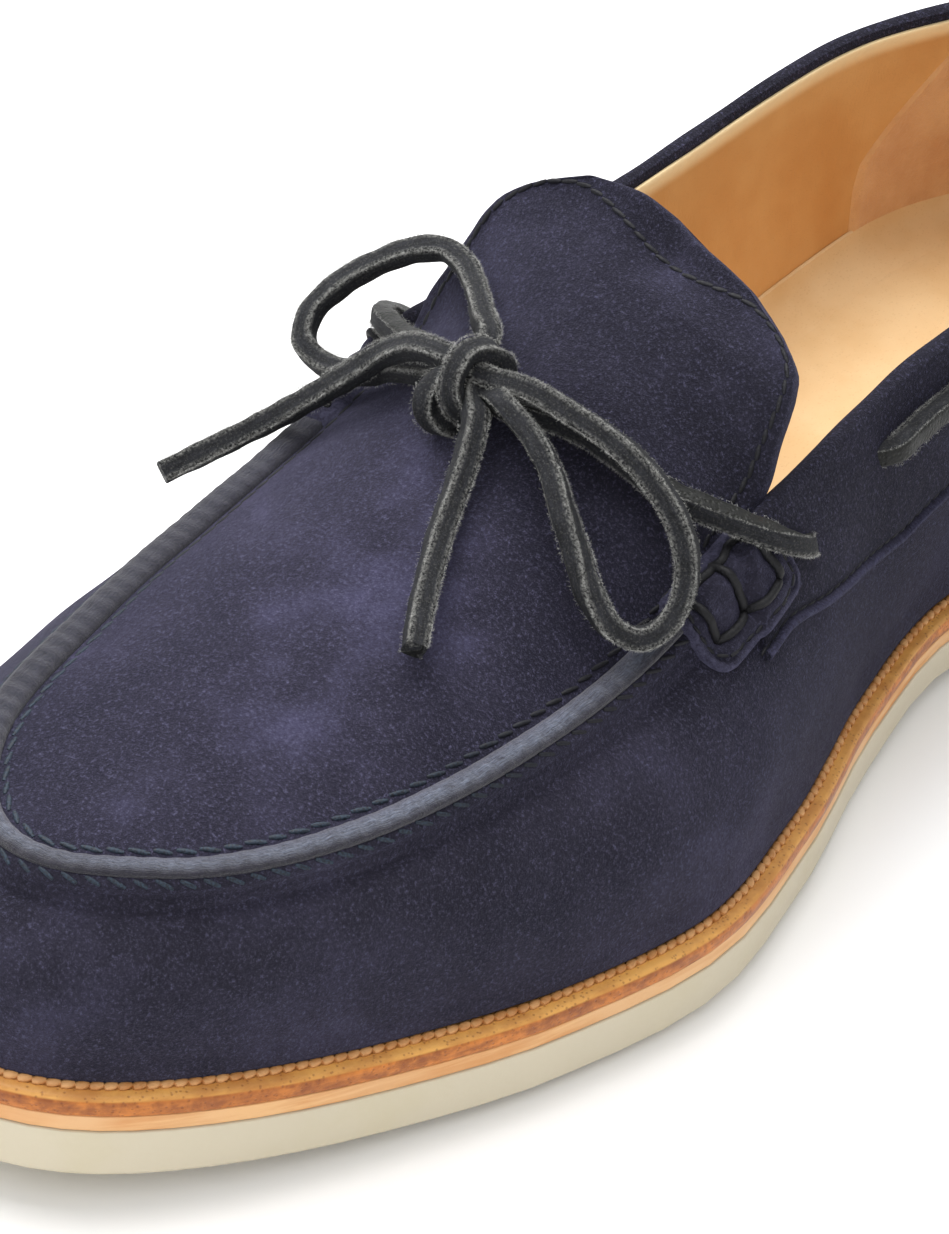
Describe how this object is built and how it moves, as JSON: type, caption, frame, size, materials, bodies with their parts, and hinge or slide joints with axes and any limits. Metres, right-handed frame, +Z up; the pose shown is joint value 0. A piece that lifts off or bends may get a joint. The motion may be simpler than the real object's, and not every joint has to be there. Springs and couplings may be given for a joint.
{
  "type": "boat shoe",
  "caption": "Left suede boat shoe with a moccasin apron, a leather welt, a rubber sole and a rawhide lace tied in a loose bow.",
  "frame": {"origin": "on the floor, on the shoe's centre line, half way along the sole, in the flat tread under the ball of the foot", "axes": "+Z up, +Y towards the heel, the toe points to -Y, +X towards the outer side of the left foot"},
  "size_m": [0.1083, 0.3, 0.0934],
  "materials": {
    "suede": "napped navy suede, matt, brushed lighter in patches",
    "welt": "waxed tan leather, semi-gloss",
    "midsole": "pale tan leather board, satin",
    "insole": "natural smooth leather, satin",
    "rubber": "cream rubber, matt",
    "lace": "charcoal rawhide, satin grain with raw cut edges"
  },
  "bodies": {
    "root": {"outsole": "rubber", "midsole": "midsole", "welt": "welt", "insole": "insole", "upper": "suede", "apron_tongue": "suede", "side_tab_outer": "suede", "side_tab_inner": "suede", "lace_bar_outer": "lace", "lace_bar_inner": "lace", "lace_collar_outer": "lace", "lace_collar_inner": "lace", "lace_knot": "lace", "lace_loop_outer": "lace", "lace_loop_inner": "lace", "lace_end_inner": "lace", "lace_end_front": "lace"}
  },
  "joints": []
}
